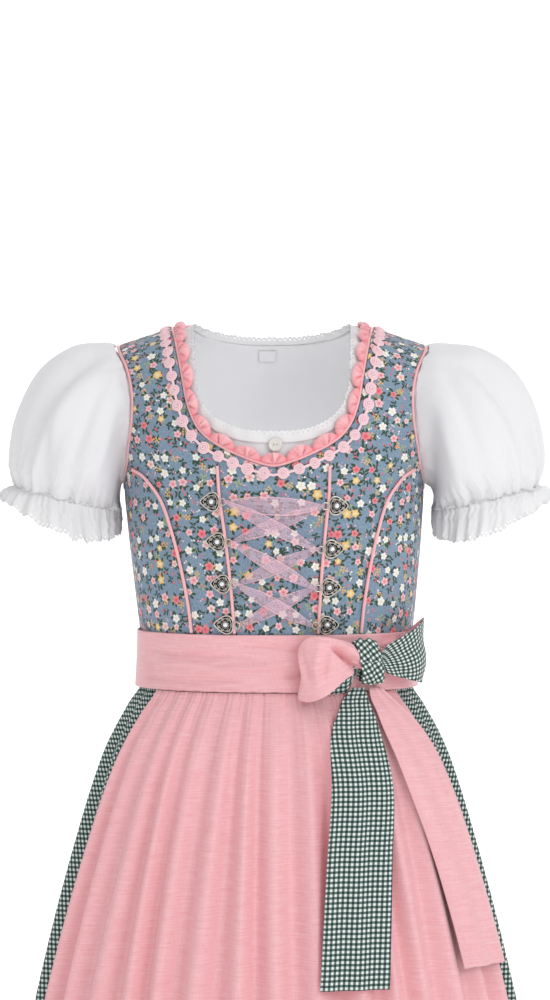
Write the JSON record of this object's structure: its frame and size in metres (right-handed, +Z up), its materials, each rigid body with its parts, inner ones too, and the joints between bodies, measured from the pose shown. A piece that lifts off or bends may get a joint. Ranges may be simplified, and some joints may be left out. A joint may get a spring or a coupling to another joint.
{
  "type": "child's dirndl set, shaped as worn and held up at the shoulders by its wearer",
  "caption": "Child's dirndl set as worn: laced floral bodice, puff-sleeved white blouse, gathered green gingham skirt and pink apron tied in a bow",
  "frame": {"origin": "midway between the shoulder tops, on the shoulder line", "axes": "+X to the right of the front view, +Y toward the back, +Z up; the front faces -Y"},
  "size_m": [0.476, 0.4222, 0.7776],
  "materials": {
    "print": "matt printed cotton with small flowers",
    "gingham": "matt woven check",
    "pink": "slubbed silk-like sheen",
    "satin": "satin piping",
    "rose": "woven satin braid",
    "sheer": "sheer organza with satin edges",
    "white": "matt white cotton",
    "silver": "antiqued silver",
    "pearl": "pearly gloss"
  },
  "bodies": {
    "root": {"bodice_centre_front": "print", "bodice_front_left": "print", "bodice_front_right": "print", "bodice_side_left": "print", "bodice_side_right": "print", "bodice_back_left": "print", "bodice_back_right": "print", "neck_piping": "satin", "armhole_piping_left": "satin", "armhole_piping_right": "satin", "centre_piping_left": "satin", "centre_piping_right": "satin", "princess_piping_left": "satin", "princess_piping_right": "satin", "neck_frill": "pink", "rosette_braid": "rose", "lacing_ribbon": "sheer", "hook_left_1": "silver", "hook_left_2": "silver", "hook_left_3": "silver", "hook_left_4": "silver", "hook_right_1": "silver", "hook_right_2": "silver", "hook_right_3": "silver", "hook_right_4": "silver", "skirt_front": "gingham", "skirt_back": "gingham", "apron_panel": "pink", "apron_band": "pink", "bow_loop_left": "pink", "bow_loop_right": "gingham", "bow_knot": "gingham", "bow_tail_left": "gingham", "bow_tail_right": "pink", "blouse_front_left": "white", "blouse_front_right": "white", "blouse_back": "white", "blouse_neck_lace": "white", "sleeve_left": "white", "sleeve_right": "white", "cuff_frill_left": "white", "cuff_frill_right": "white", "blouse_button": "pearl", "size_label": "white"}
  },
  "joints": []
}
